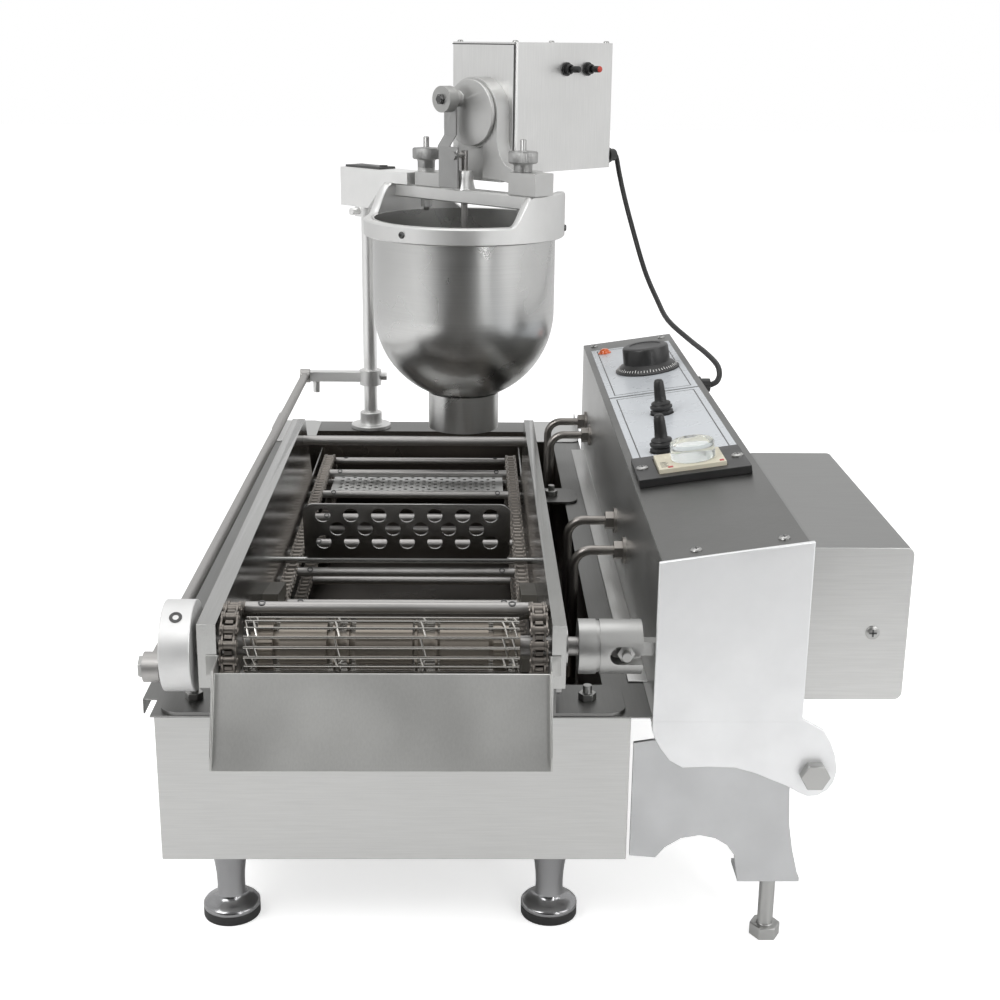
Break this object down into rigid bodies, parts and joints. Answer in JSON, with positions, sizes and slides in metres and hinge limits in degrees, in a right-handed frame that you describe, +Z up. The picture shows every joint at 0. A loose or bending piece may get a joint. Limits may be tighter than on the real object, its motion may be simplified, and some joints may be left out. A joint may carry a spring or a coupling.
{
  "type": "donut fryer",
  "caption": "Tabletop donut fryer: oil tank with a chain-and-flight conveyor, flipper, delivery chute, swinging plunger depositor with round hopper, and a side control box.",
  "frame": {"origin": "on the floor plane under the middle of the bounding box", "axes": "+Z up, +Y along the tank from the delivery chute to the depositor, +X towards the control box"},
  "size_m": [0.657, 1.1585, 0.776],
  "materials": {
    "chain": "dark oiled steel",
    "sheet": "brushed sheet",
    "feet": "cast satin",
    "bolt": "dull",
    "rod": "satin",
    "roller": "oiled, warm grey",
    "wire": "bright wire",
    "cast": "cast satin",
    "bowl": "spun satin",
    "foot_rubber": "black rubber",
    "guide": "off-white",
    "piston": "matt white",
    "black": "matt black",
    "boot": "black rubber",
    "boot_red": "red rubber tip",
    "label": "pale film, blank",
    "cast_panel": "cast, pebbled",
    "lamp_orange": "translucent orange",
    "lamp_green": "translucent green",
    "relay": "beige",
    "clear": "clear dome",
    "heater": "heat-dulled",
    "cable": "black sheath"
  },
  "bodies": {
    "fryer": {"chains": "chain", "casing": "sheet", "oil_tank": "sheet", "feet": "feet", "foot_pads": "foot_rubber", "rear_corner_plates": "sheet", "side_plates": "sheet", "foot_brackets": "sheet", "frame_bolts": "bolt", "tie_rods": "rod", "flights": "rod", "chain_guides": "guide", "shaft_bearings": "bolt", "wire_belt": "wire", "chute": "sheet", "paddles": "sheet", "post_base": "cast", "control_case": "sheet", "control_top": "sheet", "label_plates": "label", "front_cheek": "cast_panel", "support_plates": "cast_panel", "support_bolts": "bolt", "gearmotor_cover": "sheet", "lamp_orange": "lamp_orange", "lamp_green": "lamp_green", "panel_fittings": "black", "timer_relay": "relay", "panel_screws": "bolt", "heaters": "heater", "cord": "cable"},
    "drive_line": {"drive_shaft": "rod", "drive_sprockets": "chain", "belt_roller": "roller", "crank_disc": "cast", "crank_pin": "bolt", "coupling": "cast"},
    "crank_rod": {"link_rod": "rod"},
    "rear_idler": {"rear_shaft": "chain"},
    "flipper": {"flipper_plate": "sheet"},
    "depositor": {"post": "rod", "lever": "cast", "arm": "cast", "hopper_ring": "cast", "hopper_bowl": "bowl", "nozzle": "bowl", "thumb_nuts": "bolt", "depositor_box": "sheet", "gear_housing": "cast", "depositor_fittings": "black"},
    "plunger_crank": {"depositor_crank": "cast"},
    "plunger": {"plunger_rod": "rod", "plunger_strip": "cast", "piston": "piston"},
    "dep_switch_a": {"depositor_switch_a": "boot"},
    "dep_switch_b": {"depositor_switch_b": "boot_red"},
    "knob": {"thermostat_knob": "black"},
    "panel_switch_a": {"control_switch_a": "boot"},
    "panel_switch_b": {"control_switch_b": "boot"},
    "timer_cap": {"timer_dial": "clear"}
  },
  "joints": [
    {"name": "conveyor_drive", "type": "hinge", "parent": "fryer", "child": "drive_line", "pos_m": [-0.1105, -0.49248, 0.284], "axis": [1, 0, 0], "continuous": true, "deforming": ["chains"]},
    {"name": "crank_rod_pivot", "type": "hinge", "parent": "drive_line", "child": "crank_rod", "pos_m": [-0.3155, -0.49248, 0.264], "axis": [1, 0, 0], "continuous": true},
    {"name": "rear_idler_turn", "type": "hinge", "parent": "fryer", "child": "rear_idler", "pos_m": [-0.1105, 0.40017, 0.17212], "axis": [1, 0, 0], "continuous": true, "deforming": ["chains"]},
    {"name": "flipper_hinge", "type": "hinge", "parent": "fryer", "child": "flipper", "pos_m": [-0.1105, -0.07448, 0.216], "axis": [1, 0, 0], "range_deg": [-45, 60]},
    {"name": "depositor_swing", "type": "hinge", "parent": "fryer", "child": "depositor", "pos_m": [-0.1925, 0.50552, 0.265], "axis": [0, 0, 1], "range_deg": [-10, 10], "deforming": ["cord"]},
    {"name": "plunger_crank_turn", "type": "hinge", "parent": "depositor", "child": "plunger_crank", "pos_m": [-0.04471, 0.37754, 0.686], "axis": [0.7071, 0.7071, 0], "continuous": true},
    {"name": "plunger_slide", "type": "slide", "parent": "depositor", "child": "plunger", "axis": [0, 0, 1], "range_m": [-0.013, 0.009]},
    {"name": "depositor_switch_a_toggle", "type": "hinge", "parent": "depositor", "child": "dep_switch_a", "pos_m": [0.08412, 0.42265, 0.742], "axis": [0.7071, 0.7071, 0], "range_deg": [-12, 12]},
    {"name": "depositor_switch_b_toggle", "type": "hinge", "parent": "depositor", "child": "dep_switch_b", "pos_m": [0.11453, 0.45306, 0.742], "axis": [0.7071, 0.7071, 0], "range_deg": [-12, 12]},
    {"name": "thermostat_turn", "type": "hinge", "parent": "fryer", "child": "knob", "pos_m": [0.18328, 0.22752, 0.37352], "axis": [-0.146, 0, 0.9893], "range_deg": [0, 300]},
    {"name": "panel_switch_a_toggle", "type": "hinge", "parent": "fryer", "child": "panel_switch_a", "pos_m": [0.17208, -0.01048, 0.38015], "axis": [0.9893, 0, 0.146], "range_deg": [-12, 12]},
    {"name": "panel_switch_b_toggle", "type": "hinge", "parent": "fryer", "child": "panel_switch_b", "pos_m": [0.15408, -0.16648, 0.3775], "axis": [0.9893, 0, 0.146], "range_deg": [-12, 12]},
    {"name": "timer_turn", "type": "hinge", "parent": "fryer", "child": "timer_cap", "pos_m": [0.17724, -0.24648, 0.37262], "axis": [-0.146, 0, 0.9893], "range_deg": [0, 270]}
  ],
  "couplings": [
    {"joint": "crank_rod_pivot", "follows": "conveyor_drive", "ratio": -1},
    {"joint": "rear_idler_turn", "follows": "conveyor_drive", "ratio": 1}
  ]
}
